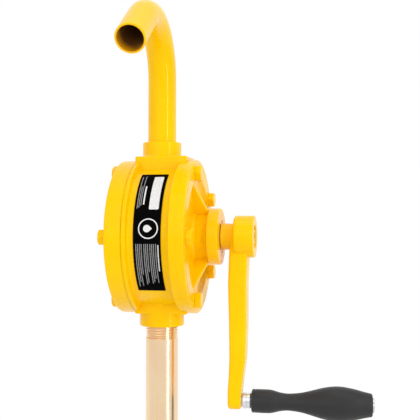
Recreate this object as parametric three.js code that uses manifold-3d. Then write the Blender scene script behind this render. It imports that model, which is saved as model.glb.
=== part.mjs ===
// Hand-cranked rotary vane barrel pump on a telescopic suction tube, held in a 2 inch drum bung.
// Millimetres, +Z up. The origin is the centre of the bung adapter's seat on the drum.
// +X runs along the pump shaft to the crank, -Y to the spout's mouth.
import * as THREE from "three";
import { mergeVertices } from "three/addons/utils/BufferGeometryUtils.js";
import Module from "manifold-3d";

const wasm = await Module();
wasm.setup();

// ---------------------------------------------------------------- driving dimensions
const AXIS_HEIGHT = 241; // shaft axis above the bung seat
const SIDES = 24; // facets round a small piece
const CASING_SIDES = 44; // facets round the casing
const BORE_SIDES = 72; // facets round the pump bore
const BOLT_SIDES = 10; // facets round a bolt
const GAP = 0.1; // between flat faces that touch
const TOUCH = 0.3; // between pieces stacked in one hole
const FIT = 0.2; // radial gap of a round piece in its hole

const BODY = {
  back: -19, front: 29.5, barrelR: 69, flangeR: 75.6, backFlange: 5, frontFlange: 6.5,
  boreR: 50, boreOffset: 8, padTop: 78.6, padBottom: -75.2, padHalf: 22,
};
const GASKET = { thick: 0.5, innerR: 59 };
const COLLAR = { r: 19.2, top: 93.5, seat: 70 };
const BOSS = { r: 22, bottom: -88.4, seat: -67, chamfer: 1.2 };
const PORT_R = 11;

const FRONT_COVER = { face: 37.5, pocketR: 56, floor: 34, web: 5.2, webs: 4 };
const HUB = { r: 27.8, waistR: 23.5, step: 49.5, end: 60.3, bushR: 12.4, sealR: 16.2, sealX: 48 };
const REAR_COVER = {
  face: -37.5, plate: -27.5, ringInnerR: 58, bossR: 20, bossEnd: -39.5, web: 7, webs: 5,
};

const BOLT = {
  count: 5, pitchR: 64.4, shankR: 3.9, holeR: 4.2, acrossFlats: 14, headHeight: 6, depth: 14,
};
const BOLT_STEP = 360 / BOLT.count;
const SPOT_FACE = { r: 9.2, proud: 0.8 };

const SHAFT = { r: 9, back: -34.5, crankEnd: 85, studR: 4, studEnd: 91.5 };
const ROTOR = { r: 41.6, slotWidth: 5.2, slotFloorR: 16.5, sideGap: 0.6 };
const VANE = { count: 4, thick: 4.8, innerR: 21.6, outerR: 41.2 };
const SPRING = { coilR: 1.7, wireR: 0.4, turns: 3 };
const KEY = { width: 5, top: 12.2, seat: 6.4, length: 34 };

const CRANK = {
  bossR: 20.6, bossBack: 73.5, bossFront: 93.5, neckStart: 60.9, neckR: 13.4, neckTipR: 12.4,
  recessR: 11, recessFloor: 86, throwZ: -160, endR: 8.5, width: 26,
};
const GRIP = { start: 90.2, end: 205.5, boreR: 5.2 };
const SPINDLE = { r: 5, threadR: 4.6, headR: 7.2, collarR: 7.6, collarStart: 81.5 };

const SPOUT = { r: 14, wall: 2, bendR: 51.1, bendStart: 155.8, pastLevel: 35.7, straight: 45.4 };
const OUTER_TUBE = { r: 16, wall: 2, top: -67.4, bottom: -470 };
const INNER_TUBE = { r: 12.5, wall: 2, top: -120, bottom: -498 };
const TELESCOPE = { collarR: 20, top: -452, lip: -470.6, bottom: -487 };
const FOOT = { r: 17, top: -490, bottom: -522, slots: 8, slotWidth: 3.4 };
const ADAPTER = {
  threadR: 29.6, threadEnd: -18, seat: 3, flangeAcross: 74, flangeTop: 15, neckR: 23, top: 39,
};
const SWIVEL_RING = { r: 19.4, bottom: 13, top: 34 };
const LABEL = { back: -10.8, front: 15.2, low: -46, high: 59, step: 7, inner: 0.15, outer: 0.65 };
const SCREW_Z = 29; // adapter thumb screw above the seat
const LOCK_Z = -479; // telescope lock screw, from the shaft axis

// Faces of the covers that close the pump chamber
const COVER_INNER_FRONT = BODY.front + GASKET.thick + 2 * GAP;
const COVER_INNER_REAR = BODY.back - GASKET.thick - 2 * GAP;

// ---------------------------------------------------------------- materials
const finish = (color, roughness, metalness) =>
  new THREE.MeshStandardMaterial({ color, roughness, metalness });
const YELLOW = finish(0xffd400, 0.38, 0.05);
const ZINC_YELLOW = finish(0xd9bf8c, 0.35, 0.85);
const BRIGHT_STEEL = finish(0xc9ccd0, 0.3, 0.9);
const CAST_IRON = finish(0x5a5c5f, 0.55, 0.8);
const BRONZE = finish(0xb58b4c, 0.4, 0.85);
const BLACK_PLASTIC = finish(0x3c3c3e, 0.5, 0.0);
const BLACK_RUBBER = finish(0x1d1d1f, 0.8, 0.0);
const GASKET_PAPER = finish(0x6b5a3c, 0.9, 0.0);
const LABEL_BLACK = finish(0x141414, 0.35, 0.0);

// ---------------------------------------------------------------- solids
/** A manifold solid from a closed three.js geometry, turned right side out. */
function solid(geometry) {
  const bare = geometry.index ? geometry.toNonIndexed() : geometry.clone();
  bare.deleteAttribute("normal");
  bare.deleteAttribute("uv");
  const merged = mergeVertices(bare, 1e-4);
  const vertProperties = new Float32Array(merged.attributes.position.array);
  const triVerts = [];
  const index = merged.index.array;
  let volume = 0;
  const corner = [new THREE.Vector3(), new THREE.Vector3(), new THREE.Vector3()];
  for (let i = 0; i < index.length; i += 3) {
    const [a, b, c] = [index[i], index[i + 1], index[i + 2]];
    if (a === b || b === c || c === a) continue;
    triVerts.push(a, b, c);
    [a, b, c].forEach((v, k) => corner[k].fromArray(vertProperties, 3 * v));
    volume += corner[0].dot(corner[1].clone().cross(corner[2]));
  }
  if (volume < 0) triVerts.reverse();
  return new wasm.Manifold(new wasm.Mesh({
    numProp: 3, vertProperties, triVerts: new Uint32Array(triVerts),
  }));
}

/** A three.js geometry from a manifold solid. */
function geometryOf(body) {
  const mesh = body.getMesh();
  const geometry = new THREE.BufferGeometry();
  const position = new THREE.BufferAttribute(new Float32Array(mesh.vertProperties), 3);
  geometry.setAttribute("position", position);
  geometry.setIndex(new THREE.BufferAttribute(new Uint32Array(mesh.triVerts), 1));
  return geometry;
}

const join = (first, ...rest) => rest.reduce((sum, piece) => sum.add(piece), first);
const cut = (first, ...rest) => rest.reduce((left, piece) => left.subtract(piece), first);
const turnDeg = (degrees) => THREE.MathUtils.degToRad(degrees);

/** Cylinder or hexagonal prism along X, from x0 to x1, about the line y, z. */
function rodX(r, x0, x1, y = 0, z = 0, sides = SIDES) {
  const geometry = new THREE.CylinderGeometry(r, r, x1 - x0, sides);
  geometry.rotateZ(-Math.PI / 2).translate((x0 + x1) / 2, y, z);
  return solid(geometry);
}

/** Cylinder or prism along Z, from z0 to z1, about the line x, y. */
function rodZ(r, z0, z1, x = 0, y = 0, sides = SIDES) {
  const geometry = new THREE.CylinderGeometry(r, r, z1 - z0, sides);
  geometry.rotateX(Math.PI / 2).translate(x, y, (z0 + z1) / 2);
  return solid(geometry);
}

/** Solid of revolution about X; the profile is a list of [x, r]. */
function turnedX(profile, sides = SIDES) {
  const points = profile.map(([x, r]) => new THREE.Vector2(r, x));
  return solid(new THREE.LatheGeometry(points, sides).rotateZ(-Math.PI / 2));
}

/** Solid of revolution about Z; the profile is a list of [z, r]. */
function turnedZ(profile, sides = SIDES) {
  const points = profile.map(([z, r]) => new THREE.Vector2(r, z));
  return solid(new THREE.LatheGeometry(points, sides).rotateX(Math.PI / 2));
}

/** Block between two corners. */
function block([x0, y0, z0], [x1, y1, z1]) {
  const geometry = new THREE.BoxGeometry(x1 - x0, y1 - y0, z1 - z0);
  return solid(geometry.translate((x0 + x1) / 2, (y0 + y1) / 2, (z0 + z1) / 2));
}

/** Flat outline of [x, z] points with a thickness along Y, centred on the XZ plane. */
function plateXZ(outline, thickness) {
  const shape = new THREE.Shape(outline.map(([x, z]) => new THREE.Vector2(x, z)));
  const geometry = new THREE.ExtrudeGeometry(shape, { depth: thickness, bevelEnabled: false });
  return solid(geometry.translate(0, 0, -thickness / 2).rotateX(Math.PI / 2));
}

/** Ring of a ring section along X. */
function sleeveX(innerR, outerR, x0, x1, sides = SIDES) {
  return turnedX([[x0, innerR], [x1, innerR], [x1, outerR], [x0, outerR], [x0, innerR]], sides);
}

/** Ring of a ring section along Z. */
function sleeveZ(innerR, outerR, z0, z1, sides = SIDES) {
  return turnedZ([[z0, innerR], [z1, innerR], [z1, outerR], [z0, outerR], [z0, innerR]], sides);
}

/** Copy turned about the shaft axis; 0 is towards -Y and 90 towards +Z. */
function aboutShaft(body, degrees) {
  return body.rotate([-degrees, 0, 0]);
}

/** Centre of a bolt on the bolt circle. */
function boltPlace(i) {
  const angle = turnDeg(i * BOLT_STEP);
  return [-BOLT.pitchR * Math.cos(angle), BOLT.pitchR * Math.sin(angle)];
}

// ---------------------------------------------------------------- assembly group
const pump = new THREE.Group();
pump.position.z = AXIS_HEIGHT;
const drumAdapter = new THREE.Group();
const assembly = new THREE.Group();
assembly.add(pump, drumAdapter);

function piece(name, body, material, group = pump) {
  const mesh = new THREE.Mesh(geometryOf(body), material);
  mesh.name = name;
  group.add(mesh);
}

// ---------------------------------------------------------------- casing
function boltHoles(x0, x1) {
  return Array.from({ length: BOLT.count }, (_, i) => rodX(BOLT.holeR, x0, x1, ...boltPlace(i), BOLT_SIDES));
}

function pumpBody() {
  const { back, front, barrelR, flangeR, padTop, padBottom, padHalf } = BODY;
  const shell = join(
    rodX(barrelR, back, front, 0, 0, CASING_SIDES),
    rodX(flangeR, back, back + BODY.backFlange, 0, 0, CASING_SIDES),
    rodX(flangeR, front - BODY.frontFlange, front, 0, 0, CASING_SIDES),
    block([back, -padHalf, 0], [front, padHalf, padTop]),
    block([back, -padHalf, padBottom], [front, padHalf, 0]),
    turnedZ([[padTop - 1, 0], [padTop - 1, COLLAR.r], [COLLAR.top, COLLAR.r], [COLLAR.top, 0]]),
    turnedZ([
      [padBottom + 1, 0], [padBottom + 1, BOSS.r], [BOSS.bottom + BOSS.chamfer, BOSS.r],
      [BOSS.bottom, BOSS.r - BOSS.chamfer], [BOSS.bottom, 0],
    ]),
  );
  const besideRearCover = block([back - BOSS.r, -BOSS.r, -flangeR - 0.5], [back, BOSS.r, 0]);
  return cut(
    shell,
    besideRearCover,
    rodX(BODY.boreR, back - 1, front + 1, BODY.boreOffset, 0, BORE_SIDES),
    rodZ(PORT_R, BOSS.bottom, COLLAR.top),
    rodZ(SPOUT.r + FIT, COLLAR.seat, COLLAR.top + 1),
    rodZ(OUTER_TUBE.r + FIT, BOSS.bottom - 1, BOSS.seat),
    ...boltHoles(front - BOLT.depth - 0.5, front + 1),
    ...boltHoles(back - 1, back + BOLT.depth + 0.5),
  );
}

/** Copies of a body set evenly round the shaft, the first one at the given angle. */
function roundShaft(body, count, first = 0) {
  return Array.from({ length: count }, (_, i) => aboutShaft(body, first + BOLT_STEP * i));
}

/** Raised round seats under the bolt heads. */
function spotFaces(x0, x1) {
  return roundShaft(rodX(SPOT_FACE.r, x0, x1, -BOLT.pitchR, 0, BOLT_SIDES + 6), BOLT.count);
}

/** Bolted rim, sunk flat floor and the shaft hub, which steps out to its end. */
function frontCover() {
  const inner = COVER_INNER_FRONT;
  const { face, pocketR, floor, web, webs } = FRONT_COVER;
  const dish = turnedX([
    [inner, 0], [inner, BODY.flangeR], [face - 1.2, BODY.flangeR], [face, BODY.flangeR - 1.2],
    [face, pocketR + 2], [floor, pocketR - 1], [floor, HUB.waistR + 1], [floor + 1, HUB.waistR],
    [HUB.step - 1, HUB.waistR], [HUB.step, HUB.r], [HUB.end - 1, HUB.r], [HUB.end, HUB.r - 1],
    [HUB.end, 0],
  ], CASING_SIDES);
  const webFoot = HUB.waistR - 3;
  const webOutline = [
    [inner + 1, webFoot], [inner + 1, pocketR - 2], [floor + 1.5, pocketR - 3],
    [HUB.step - 0.7, HUB.waistR + 2.3], [HUB.step - 0.7, webFoot],
  ];
  return cut(
    join(
      dish,
      ...roundShaft(plateXZ(webOutline, web), webs, BOLT_STEP - 90),
      ...spotFaces(inner + 1, face + SPOT_FACE.proud),
    ),
    rodX(HUB.bushR + FIT, inner - 1, HUB.sealX + 1),
    rodX(HUB.sealR + FIT, HUB.sealX, HUB.end + 1),
    ...boltHoles(inner - 1, face + 4),
  );
}

/** Deep rim, sunk back plate and a blind hub for the shaft's rear end. */
function rearCover() {
  const inner = COVER_INNER_REAR;
  const { face, plate, ringInnerR, bossR, bossEnd, web, webs } = REAR_COVER;
  const dish = turnedX([
    [inner, 0], [inner, BODY.flangeR], [face + 1.5, BODY.flangeR], [face, BODY.flangeR - 1.5],
    [face, ringInnerR + 1], [plate, ringInnerR - 1], [plate, bossR + 1.5], [bossEnd + 1, bossR],
    [bossEnd, bossR - 1], [bossEnd, 0],
  ], CASING_SIDES);
  const webFoot = bossR - 4;
  const webEnd = ringInnerR + 4;
  const webOutline = [
    [plate + 2, webFoot], [plate + 2, webEnd], [face + 1, webEnd], [bossEnd + 2.5, webFoot],
  ];
  return cut(
    join(
      dish,
      ...roundShaft(plateXZ(webOutline, web), webs, -90),
      ...spotFaces(face - SPOT_FACE.proud, inner - 1),
    ),
    rodX(HUB.bushR + FIT, SHAFT.back - 0.5, inner + 1),
    ...boltHoles(face - 4, inner + 1),
  );
}

function gasket(x0) {
  return cut(
    sleeveX(GASKET.innerR, BODY.flangeR - 0.3, x0, x0 + GASKET.thick, CASING_SIDES),
    ...boltHoles(x0 - 1, x0 + 2),
  );
}

function coverBolt(i, seatX, towards) {
  const [y, z] = boltPlace(i);
  const headR = BOLT.acrossFlats / Math.sqrt(3);
  const headEnd = seatX + towards * BOLT.headHeight;
  const reach = towards > 0 ? BODY.front - BOLT.depth : BODY.back + BOLT.depth;
  const head = rodX(headR, Math.min(seatX, headEnd), Math.max(seatX, headEnd), y, z, 6);
  const shank = rodX(BOLT.shankR, Math.min(seatX, reach), Math.max(seatX, reach), y, z, BOLT_SIDES);
  return join(head, shank);
}

piece("pump_body", pumpBody(), YELLOW);
piece("front_cover", frontCover(), YELLOW);
piece("rear_cover", rearCover(), YELLOW);
piece("front_gasket", gasket(BODY.front + GAP), GASKET_PAPER);
piece("rear_gasket", gasket(BODY.back - GAP - GASKET.thick), GASKET_PAPER);
for (let i = 0; i < BOLT.count; i++) {
  const frontSeat = FRONT_COVER.face + SPOT_FACE.proud + GAP;
  const rearSeat = REAR_COVER.face - SPOT_FACE.proud - GAP;
  piece(`front_bolt_${i + 1}`, coverBolt(i, frontSeat, 1), YELLOW);
  piece(`rear_bolt_${i + 1}`, coverBolt(i, rearSeat, -1), YELLOW);
}

// ---------------------------------------------------------------- bearings and seal
const bushInnerR = SHAFT.r + FIT / 2;

const sealEnd = 55;
piece("front_bush", sleeveX(bushInnerR, HUB.bushR, COVER_INNER_FRONT + TOUCH, HUB.sealX - TOUCH),
  BRONZE);
piece("rear_bush", sleeveX(bushInnerR, HUB.bushR, SHAFT.back + TOUCH, COVER_INNER_REAR - TOUCH),
  BRONZE);
piece("shaft_seal", sleeveX(bushInnerR, HUB.sealR, HUB.sealX + TOUCH, sealEnd), BLACK_RUBBER);
piece("seal_retainer", sleeveX(bushInnerR + 0.4, HUB.sealR, sealEnd + TOUCH, HUB.end - 0.4), YELLOW);

// ---------------------------------------------------------------- rotor
const rotorBack = COVER_INNER_REAR + ROTOR.sideGap;
const rotorFront = COVER_INNER_FRONT - ROTOR.sideGap;
const rotorMiddle = (rotorBack + rotorFront) / 2;

function driveShaft() {
  const { r, back, crankEnd, studR, studEnd } = SHAFT;
  const bar = turnedX([
    [back + 0.6, 0], [back + 0.6, r - 1], [back + 1.6, r], [crankEnd, r], [crankEnd, studR],
    [studEnd - 0.6, studR], [studEnd, studR - 0.6], [studEnd, 0],
  ]);
  const keyway = block([rotorMiddle - KEY.length / 2, -KEY.width / 2, KEY.seat],
    [rotorMiddle + KEY.length / 2, KEY.width / 2, r + 1]);
  return cut(bar, keyway);
}

function rotorKey() {
  const half = KEY.length / 2 - 0.2;
  const side = KEY.width / 2 - 0.15;
  return block([rotorMiddle - half, -side, KEY.seat + 0.15],
    [rotorMiddle + half, side, KEY.top - 0.15]);
}

function rotorDrum() {
  const slot = block([rotorBack - 1, -ROTOR.slotWidth / 2, ROTOR.slotFloorR],
    [rotorFront + 1, ROTOR.slotWidth / 2, ROTOR.r + 5]);
  const slots = Array.from({ length: VANE.count }, (_, i) => aboutShaft(slot, 45 + 90 * i));
  return cut(
    rodX(ROTOR.r, rotorBack, rotorFront, 0, 0, CASING_SIDES),
    rodX(SHAFT.r + FIT, rotorBack - 1, rotorFront + 1),
    block([rotorBack - 1, -KEY.width / 2, 0], [rotorFront + 1, KEY.width / 2, KEY.top]),
    ...slots,
  );
}

function vane(i) {
  const { thick, innerR, outerR } = VANE;
  const blade = block([rotorBack + 0.2, -thick / 2, innerR], [rotorFront - 0.2, thick / 2, outerR]);
  return aboutShaft(blade, 45 + 90 * i);
}

function vaneSpring(i) {
  const { coilR, wireR, turns } = SPRING;
  const floor = ROTOR.slotFloorR + wireR + 0.1;
  const height = VANE.innerR - wireR - 0.1 - floor;
  const helix = new THREE.Curve();
  helix.getPoint = (t, target = new THREE.Vector3()) => {
    const angle = 2 * Math.PI * turns * t;
    const x = rotorMiddle + coilR * Math.cos(angle);
    return target.set(x, coilR * Math.sin(angle), floor + height * t);
  };
  const section = new THREE.Shape();
  section.absarc(0, 0, wireR, 0, 2 * Math.PI);
  const wire = new THREE.ExtrudeGeometry(section, {
    steps: 6 * turns, curveSegments: 3, bevelEnabled: false, extrudePath: helix,
  });
  return aboutShaft(solid(wire), 45 + 90 * i);
}

piece("drive_shaft", driveShaft(), BRIGHT_STEEL);
piece("rotor_key", rotorKey(), BRIGHT_STEEL);
piece("rotor", rotorDrum(), CAST_IRON);
for (let i = 0; i < VANE.count; i++) {
  piece(`vane_${i + 1}`, vane(i), BRONZE);
  piece(`vane_spring_${i + 1}`, vaneSpring(i), BRIGHT_STEEL);
}

// ---------------------------------------------------------------- crank
/** Arm seen from the front: bowed, thinner at mid length, thick again at the grip. */
function crankArm() {
  const { bossR, bossBack, bossFront, throwZ, endR, width } = CRANK;
  const bow = new THREE.SplineCurve([
    [78.5, -12], [77, -46], [77.4, -85], [77.2, -118], [75, -142], [73.6, throwZ - endR],
  ].map(([x, z]) => new THREE.Vector2(x, z)));
  const half = new THREE.SplineCurve([
    [9, 0], [8.9, 0.3], [8.5, 0.6], [6.9, 0.82], [6.4, 1],
  ].map(([h, t]) => new THREE.Vector2(h, t)));
  const steps = 12;
  const left = [];
  const right = [];
  for (let i = 0; i <= steps; i++) {
    const middle = bow.getPoint(i / steps);
    const thickness = half.getPoint(i / steps).x;
    left.push([middle.x - thickness, middle.y]);
    right.unshift([middle.x + thickness, middle.y]);
  }
  const sideView = plateXZ([...left, ...right], 2 * bossR + 2);
  const frontView = new THREE.Shape();
  frontView.moveTo(width / 2, 0);
  frontView.lineTo(-width / 2, 0);
  frontView.lineTo(-endR - 1.5, throwZ + 14);
  frontView.absarc(0, throwZ, endR, Math.PI, 2 * Math.PI, false);
  frontView.lineTo(endR + 1.5, throwZ + 14);
  const slab = new THREE.ExtrudeGeometry(frontView, {
    depth: bossFront, bevelEnabled: false, curveSegments: 16,
  });
  slab.rotateX(Math.PI / 2).rotateZ(Math.PI / 2).translate(CRANK.neckStart, 0, 0);
  const arm = sideView.intersect(solid(slab));
  const boss = turnedX([
    [bossBack, 0], [bossBack, bossR - 2.5], [bossBack + 2.5, bossR], [bossFront - 1, bossR],
    [bossFront, bossR - 1], [bossFront, 0],
  ]);
  const neck = turnedX([
    [CRANK.neckStart, 0], [CRANK.neckStart, CRANK.neckR], [bossBack + 1, CRANK.neckTipR],
    [bossBack + 1, 0],
  ]);
  return cut(
    join(boss, arm, neck),
    rodX(SHAFT.r + FIT, CRANK.neckStart - 1, CRANK.recessFloor + 1),
    rodX(CRANK.recessR, CRANK.recessFloor, bossFront + 1),
    rodX(SPINDLE.threadR + FIT, CRANK.neckStart, GRIP.start, 0, throwZ),
  );
}

/** Hollow turned grip: short barrel, waist, long belly. */
function gripBody() {
  const outline = [
    [8, 7.6], [11.2, 10.6], [11.2, 19], [8.6, 27], [8.1, 36], [9.4, 48], [12, 58.5], [15, 70],
    [16.4, 80], [16.2, 88], [14.6, 98], [12.4, 107], [11.2, GRIP.end - GRIP.start],
  ];
  const curve = new THREE.SplineCurve(outline.slice(2).map(([r, s]) => new THREE.Vector2(r, s)));
  const skin = [[8, 0], [11, 2.6]].concat(curve.getPoints(13).map(({ x, y }) => [x, y]));
  const profile = skin.map(([r, s]) => [GRIP.start + s, r]);
  const closing = [[GRIP.end, GRIP.boreR], [GRIP.start, GRIP.boreR], profile[0]];
  return turnedX([...profile, ...closing]);
}

const atThrow = (body) => body.translate([0, 0, CRANK.throwZ]);

function handleSpindle() {
  const { r, threadR, headR, collarStart } = SPINDLE;
  const collarEnd = GRIP.start - 0.3;
  return turnedX([
    [67.5, 0], [67.5, threadR], [collarStart - 0.3, threadR], [collarStart - 0.3, threadR - 0.4],
    [collarEnd, threadR - 0.4], [collarEnd, r - FIT / 2], [GRIP.end + 0.3, r - FIT / 2],
    [GRIP.end + 0.3, headR], [GRIP.end + 1.4, headR], [GRIP.end + 2.2, headR - 1.2],
    [GRIP.end + 2.2, 0],
  ], 24);
}

function crankNut() {
  const start = SHAFT.crankEnd + 3.2;
  const nut = rodX(13 / Math.sqrt(3), start, start + 4.8, 0, 0, 6);
  return cut(nut, rodX(SHAFT.studR + FIT, start - 1, start + 6, 0, 0, 24));
}

piece("crank_arm", crankArm(), YELLOW);
piece("crank_washer", sleeveX(SHAFT.studR + FIT, 10.6, CRANK.recessFloor + 0.3, 88, 24), BRIGHT_STEEL);
piece("crank_nut", crankNut(), BRIGHT_STEEL);
piece("handle_spindle", atThrow(handleSpindle()), BRIGHT_STEEL);
piece("spindle_collar", atThrow(sleeveX(SPINDLE.threadR - 0.2, SPINDLE.collarR, SPINDLE.collarStart,
  GRIP.start - 0.8, 24)), BRIGHT_STEEL);
piece("grip", atThrow(gripBody()), BLACK_PLASTIC);

// ---------------------------------------------------------------- spout
/** Centre line: up out of the collar, over in one bend, straight down to the mouth. */
function spoutPath() {
  const { bendR, bendStart, pastLevel, straight } = SPOUT;
  const sweep = turnDeg(90 + pastLevel);
  const path = new THREE.CurvePath();
  const start = new THREE.Vector3(0, 0, COLLAR.seat + 0.4);
  const foot = new THREE.Vector3(0, 0, bendStart);
  path.add(new THREE.LineCurve3(start, foot));
  const bend = new THREE.Curve();
  bend.getPoint = (t, target = new THREE.Vector3()) => {
    const a = sweep * t;
    return target.set(0, -bendR * (1 - Math.cos(a)), bendStart + bendR * Math.sin(a));
  };
  path.add(bend);
  const exit = bend.getPoint(1);
  const down = new THREE.Vector3(0, -Math.sin(sweep), Math.cos(sweep));
  path.add(new THREE.LineCurve3(exit, exit.clone().addScaledVector(down, straight)));
  return path;
}

/** Two solid sweeps along the centre line: the outside of a pipe and its bore. */
function pipeAlong(path, outerR, innerR, steps, sides) {
  const sweep = (r, t0, t1) => {
    const section = new THREE.Shape();
    section.absarc(0, 0, r, 0, 2 * Math.PI);
    const part = new THREE.Curve();
    part.getPoint = (t, target) => path.getPoint(t0 + (t1 - t0) * t, target);
    return solid(new THREE.ExtrudeGeometry(section, {
      steps, curveSegments: sides, bevelEnabled: false, extrudePath: part,
    }));
  };
  return [sweep(outerR, 0, 1), sweep(innerR, 0, 1)];
}

function spoutTube() {
  const { r, wall } = SPOUT;
  const path = spoutPath();
  const [outer, bore] = pipeAlong(path, r, r - wall, 22, 10);
  const tip = path.getPoint(1);
  const before = path.getPoint(0.98);
  const down = tip.clone().sub(before).normalize();
  const plug = new THREE.CylinderGeometry(r - wall, r - wall, 4, SIDES);
  plug.applyQuaternion(new THREE.Quaternion().setFromUnitVectors(new THREE.Vector3(0, 1, 0), down));
  plug.translate(tip.x, tip.y, tip.z);
  const mouth = solid(plug);
  return cut(outer, bore, mouth, rodZ(r - wall, COLLAR.seat - 1, COLLAR.seat + 2, 0, 0, 24));
}

piece("spout_tube", spoutTube(), YELLOW);

// ---------------------------------------------------------------- suction tube
function outerTube() {
  const { r, wall, top, bottom } = OUTER_TUBE;
  return sleeveZ(r - wall, r, bottom, top);
}

function telescopeCollar() {
  const { collarR, top, lip, bottom } = TELESCOPE;
  const cup = turnedZ([
    [top, OUTER_TUBE.r + FIT], [lip, OUTER_TUBE.r + FIT], [lip, INNER_TUBE.r + 0.4],
    [bottom + 2, INNER_TUBE.r + 0.4], [bottom, INNER_TUBE.r + 1.4], [bottom, collarR - 3],
    [bottom + 3, collarR], [top - 1, collarR], [top, collarR - 1], [top, OUTER_TUBE.r + FIT],
  ]);
  const screwHole = rodX(3.2, 0, 30, 0, 0, 16).rotate([0, 0, 90]).translate([0, 0, LOCK_Z]);
  return cut(cup, screwHole);
}

/** Wing screw along +Y with its tip at the given distance from the tube's axis. */
function wingScrew(tip, neck, end) {
  const stem = turnedX([
    [tip, 0], [tip, 2.2], [tip + 1, 3], [neck, 3], [neck + 1, 6], [neck + 8, 6], [neck + 9, 5],
    [neck + 9, 0],
  ], 24);
  const outline = [
    [neck + 2, -4.5], [end - 5, -11.5], [end - 1, -11.5], [end, -8], [neck + 8, 0],
    [end, 8], [end - 1, 11.5], [end - 5, 11.5], [neck + 2, 4.5],
  ];
  return join(stem, plateXZ(outline, 3.4)).rotate([0, 0, 90]);
}

function footStrainer() {
  const { r, top, bottom, slots, slotWidth } = FOOT;
  const cup = turnedZ([
    [top, INNER_TUBE.r + 0.3], [top - 8.4, INNER_TUBE.r + 0.3], [top - 8.4, INNER_TUBE.r - 2],
    [bottom + 3, INNER_TUBE.r - 2], [bottom + 3, 0], [bottom, 0], [bottom, r - 3],
    [bottom + 3, r], [top - 3, r], [top, r - 2], [top, INNER_TUBE.r + 0.3],
  ]);
  const slot = block([0, -slotWidth / 2, bottom + 5], [r + 2, slotWidth / 2, top - 12]);
  const ring = Array.from({ length: slots }, (_, i) => slot.rotate([0, 0, 22.5 + 360 * i / slots]));
  return cut(cup, ...ring);
}

function innerTube() {
  const { r, wall, top, bottom } = INNER_TUBE;
  return sleeveZ(r - wall, r, bottom, top);
}

const slidingFitR = OUTER_TUBE.r - OUTER_TUBE.wall - FIT;
piece("suction_tube", outerTube(), ZINC_YELLOW);
piece("telescope_collar", telescopeCollar(), BRIGHT_STEEL);
piece("telescope_screw", wingScrew(INNER_TUBE.r + 0.3, 21, 38).translate([0, 0, LOCK_Z]),
  BRIGHT_STEEL);
piece("inner_tube", innerTube(), ZINC_YELLOW);
piece("sliding_seal", sleeveZ(INNER_TUBE.r + 0.1, slidingFitR, INNER_TUBE.top - 14,
  INNER_TUBE.top - 4), BLACK_RUBBER);
piece("foot_strainer", footStrainer(), BLACK_PLASTIC);

// ---------------------------------------------------------------- drum adapter
function bungAdapter() {
  const { threadR, threadEnd, seat, flangeAcross, flangeTop, neckR, top } = ADAPTER;
  const hexR = flangeAcross / Math.sqrt(3);
  const hex = rodZ(hexR, seat, flangeTop, 0, 0, 6).intersect(turnedZ([
    [seat, 0], [seat, hexR - 3], [seat + 1.2, hexR], [flangeTop - 2, hexR],
    [flangeTop, hexR - 3.4], [flangeTop, 0],
  ]));
  const upper = turnedZ([
    [flangeTop - 1, 0], [flangeTop - 1, neckR + 2], [flangeTop + 2, neckR], [top - 1.5, neckR],
    [top, neckR - 1.5], [top, 0],
  ]);
  const thread = turnedZ([
    [threadEnd, 0], [threadEnd, threadR - 2], [threadEnd + 2, threadR],
    [seat + 1, threadR], [seat + 1, 0],
  ], 40);
  const screwBoss = rodX(6.5, 10, neckR + 6, 0, 0, 16);
  const screwHole = rodX(3.2, 0, 40, 0, 0, 16);
  const besideNeck = (body) => body.rotate([0, 0, 90]).translate([0, 0, SCREW_Z]);
  return cut(
    join(hex, upper, thread, besideNeck(screwBoss)),
    rodZ(OUTER_TUBE.r + 0.4, threadEnd - 1, top + 1),
    rodZ(SWIVEL_RING.r + FIT, SWIVEL_RING.bottom - 0.3, top - 3),
    besideNeck(screwHole),
  );
}

function swivelRing() {
  const { r, bottom, top } = SWIVEL_RING;
  return sleeveZ(OUTER_TUBE.r + FIT, r, bottom, top);
}

piece("bung_adapter", bungAdapter(), ZINC_YELLOW, drumAdapter);
piece("adapter_gasket", sleeveZ(ADAPTER.threadR + 0.5, 36, 0, ADAPTER.seat - GAP), BLACK_RUBBER,
  drumAdapter);
piece("swivel_ring", swivelRing(), BLACK_RUBBER, drumAdapter);
piece("adapter_screw", wingScrew(SWIVEL_RING.r + 0.5, 29.5, 46).translate([0, 0, SCREW_Z]),
  BRIGHT_STEEL, drumAdapter);

// ---------------------------------------------------------------- label
/** Thin plate wrapped on the barrel, towards the front. */
function labelPlate() {
  const { back, front, low, high, step, inner, outer } = LABEL;
  const ring = sleeveX(BODY.barrelR + inner, BODY.barrelR + outer, back, front, 80);
  const past = 1.3 * BODY.barrelR;
  const wedge = [[0, 0]];
  for (let degrees = low; degrees <= high; degrees += step) {
    wedge.push([-past * Math.cos(turnDeg(degrees)), past * Math.sin(turnDeg(degrees))]);
  }
  const sector = plateXZ(wedge, 2 * past).rotate([0, 0, 90]);
  return ring.intersect(sector);
}

piece("label_plate", labelPlate(), LABEL_BLACK);

export default assembly;
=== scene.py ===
# Hand-cranked rotary vane barrel pump: enamelled castings, passivated tubes and a plastic grip,
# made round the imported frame. Sizes are millimetres in pump space unless a name says otherwise:
# X runs along the shaft to the crank, Z up the pipe, and the origin is where the two cross.
import math

import bpy
from mathutils import Matrix, Vector


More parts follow.
